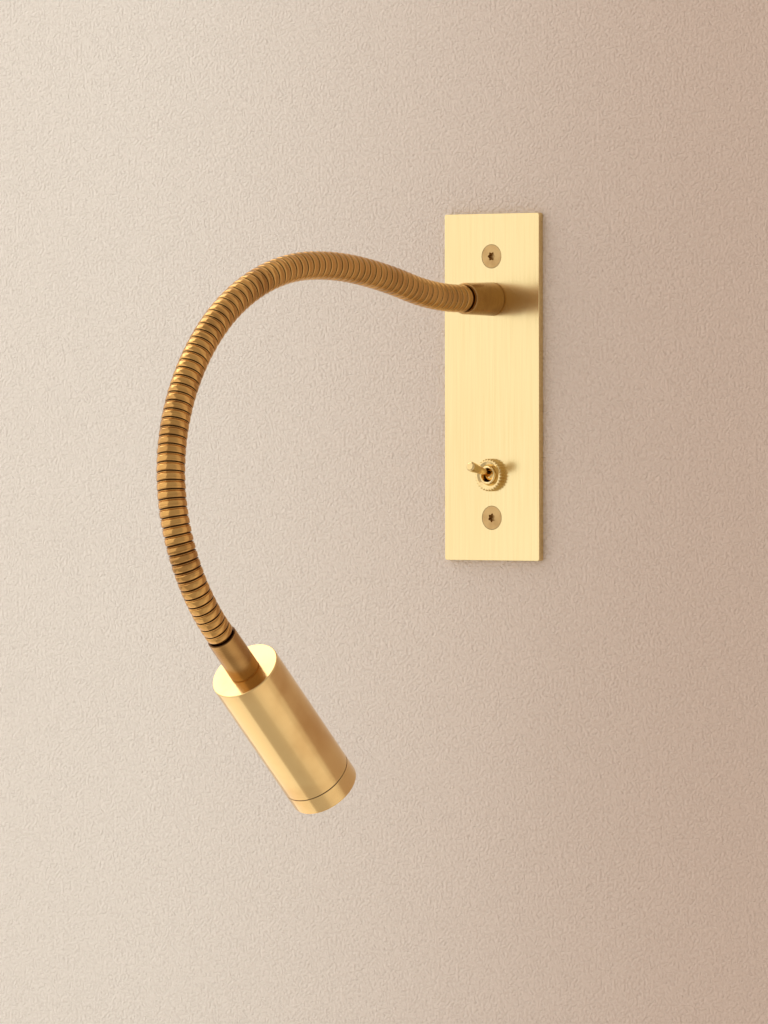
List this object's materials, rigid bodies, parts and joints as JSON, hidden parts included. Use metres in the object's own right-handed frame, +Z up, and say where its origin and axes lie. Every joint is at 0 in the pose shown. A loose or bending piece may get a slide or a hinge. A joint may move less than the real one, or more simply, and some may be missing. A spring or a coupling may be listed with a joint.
{
  "type": "wall reading lamp",
  "caption": "Bedside wall reading lamp: an upright brushed-brass plate on a recessed back box, with a toggle switch and a ribbed gooseneck carrying a slim cylindrical head.",
  "frame": {"origin": "centre of the wall plate's back face, in the wall's plane", "axes": "+X to the right as seen from the room, +Y into the wall, +Z up; the arm leaves the plate along -Y"},
  "size_m": [0.05, 0.2632, 0.2531],
  "materials": {
    "plate_brass": "vertically brushed, clear lacquered",
    "screw_brass": "antique brass plated steel",
    "collar_brass": "turned, satin",
    "hose_brass": "satin, lacquered",
    "head_brass": "turned, satin, lacquered",
    "switch_brass": "polished",
    "zinc_steel": "zinc plated",
    "contact_silver": "tinned",
    "black_rubber": "matte",
    "driver_plastic": "fine texture",
    "block_plastic": "moulded",
    "switch_plastic": "moulded",
    "lead_jacket": "smooth flexible jacket",
    "sink_aluminium": "turned",
    "led_phosphor": "phosphor under clear resin",
    "lens_clear": "moulded clear acrylic"
  },
  "bodies": {
    "wall_unit": {"wall_plate": "plate_brass", "plate_screws": "screw_brass", "back_box": "zinc_steel", "cable_grommet": "black_rubber", "led_driver": "driver_plastic", "driver_screws": "zinc_steel", "terminal_block": "block_plastic", "terminal_screws": "zinc_steel", "supply_wires": "lead_jacket", "switch_wires": "lead_jacket", "box_lead": "lead_jacket", "switch_bushing": "switch_brass", "switch_body": "switch_plastic", "switch_terminals": "contact_silver", "switch_nut": "switch_brass", "switch_washer": "zinc_steel", "switch_back_nut": "zinc_steel", "arm_collar": "collar_brass", "arm_stud": "zinc_steel", "arm_washer": "zinc_steel", "arm_nut": "zinc_steel", "gooseneck_1": "hose_brass", "lamp_lead_1": "lead_jacket"},
    "arm_link_2": {"gooseneck_2": "hose_brass", "lamp_lead_2": "lead_jacket"},
    "arm_link_3": {"gooseneck_3": "hose_brass", "lamp_lead_3": "lead_jacket"},
    "arm_link_4": {"gooseneck_4": "hose_brass", "lamp_lead_4": "lead_jacket"},
    "arm_link_5": {"gooseneck_5": "hose_brass", "lamp_lead_5": "lead_jacket"},
    "arm_link_6": {"gooseneck_6": "hose_brass", "lamp_lead_6": "lead_jacket"},
    "arm_link_7": {"gooseneck_7": "hose_brass", "lamp_lead_7": "lead_jacket"},
    "arm_link_8": {"gooseneck_8": "hose_brass", "lamp_lead_8": "lead_jacket"},
    "head_unit": {"head_ferrule": "collar_brass", "head_stud": "zinc_steel", "head_washer": "zinc_steel", "head_nut": "zinc_steel", "head_housing": "head_brass", "bezel_ring": "head_brass", "heat_sink": "sink_aluminium", "led_board": "sink_aluminium", "led_chip": "led_phosphor", "board_screws": "zinc_steel", "lens": "lens_clear", "lens_holder": "block_plastic", "lens_seal": "black_rubber", "gooseneck_9": "hose_brass", "lamp_lead_9": "lead_jacket"},
    "toggle_lever": {"switch_lever": "switch_brass"},
    "contact_rocker": {"switch_rocker": "contact_silver"}
  },
  "joints": [
    {"name": "wall_bend_1", "type": "hinge", "parent": "wall_unit", "child": "arm_link_2", "pos_m": [-0.00001, -0.06775, 0.04317], "axis": [1, -0.0056, 0.0013], "range_deg": [-35, 4]},
    {"name": "sweep_1", "type": "hinge", "parent": "arm_link_2", "child": "arm_link_3", "pos_m": [-0.0012, -0.10015, 0.04918], "axis": [0, 0.1301, 0.9915], "range_deg": [-25, 25]},
    {"name": "wall_bend_2", "type": "hinge", "parent": "arm_link_3", "child": "arm_link_4", "pos_m": [-0.00339, -0.13299, 0.05029], "axis": [0.9973, -0.0733, -0.0058], "range_deg": [-35, 4]},
    {"name": "sweep_2", "type": "hinge", "parent": "arm_link_4", "child": "arm_link_5", "pos_m": [-0.00639, -0.1645, 0.04171], "axis": [0, -0.4364, 0.8998], "range_deg": [-25, 25]},
    {"name": "head_bend_1", "type": "hinge", "parent": "arm_link_5", "child": "arm_link_6", "pos_m": [-0.00867, -0.19102, 0.02253], "axis": [0.9993, -0.0266, -0.0272], "range_deg": [-35, 10]},
    {"name": "sweep_3", "type": "hinge", "parent": "arm_link_6", "child": "arm_link_7", "pos_m": [-0.00891, -0.21016, -0.00417], "axis": [0, -0.8909, 0.4543], "range_deg": [-25, 25]},
    {"name": "head_bend_2", "type": "hinge", "parent": "arm_link_7", "child": "arm_link_8", "pos_m": [-0.00612, -0.22083, -0.03513], "axis": [0.9907, 0.0248, 0.134], "range_deg": [-35, 10]},
    {"name": "sweep_4", "type": "hinge", "parent": "arm_link_8", "child": "head_unit", "pos_m": [-0.00076, -0.22052, -0.06746], "axis": [0, -0.9773, -0.212], "range_deg": [-25, 25]},
    {"name": "toggle", "type": "hinge", "parent": "wall_unit", "child": "toggle_lever", "pos_m": [0, -0.003, -0.038], "axis": [1, 0, 0], "range_deg": [0, 27.4]},
    {"name": "rocker", "type": "hinge", "parent": "wall_unit", "child": "contact_rocker", "pos_m": [0, 0.0052, -0.038], "axis": [1, 0, 0], "range_deg": [-20.01, 0]}
  ],
  "couplings": [
    {"joint": "wall_bend_2", "follows": "wall_bend_1", "ratio": 1},
    {"joint": "head_bend_2", "follows": "head_bend_1", "ratio": 1},
    {"joint": "sweep_2", "follows": "sweep_1", "ratio": 1},
    {"joint": "sweep_3", "follows": "sweep_1", "ratio": 1},
    {"joint": "sweep_4", "follows": "sweep_1", "ratio": 1},
    {"joint": "rocker", "follows": "toggle", "ratio": -0.73}
  ]
}
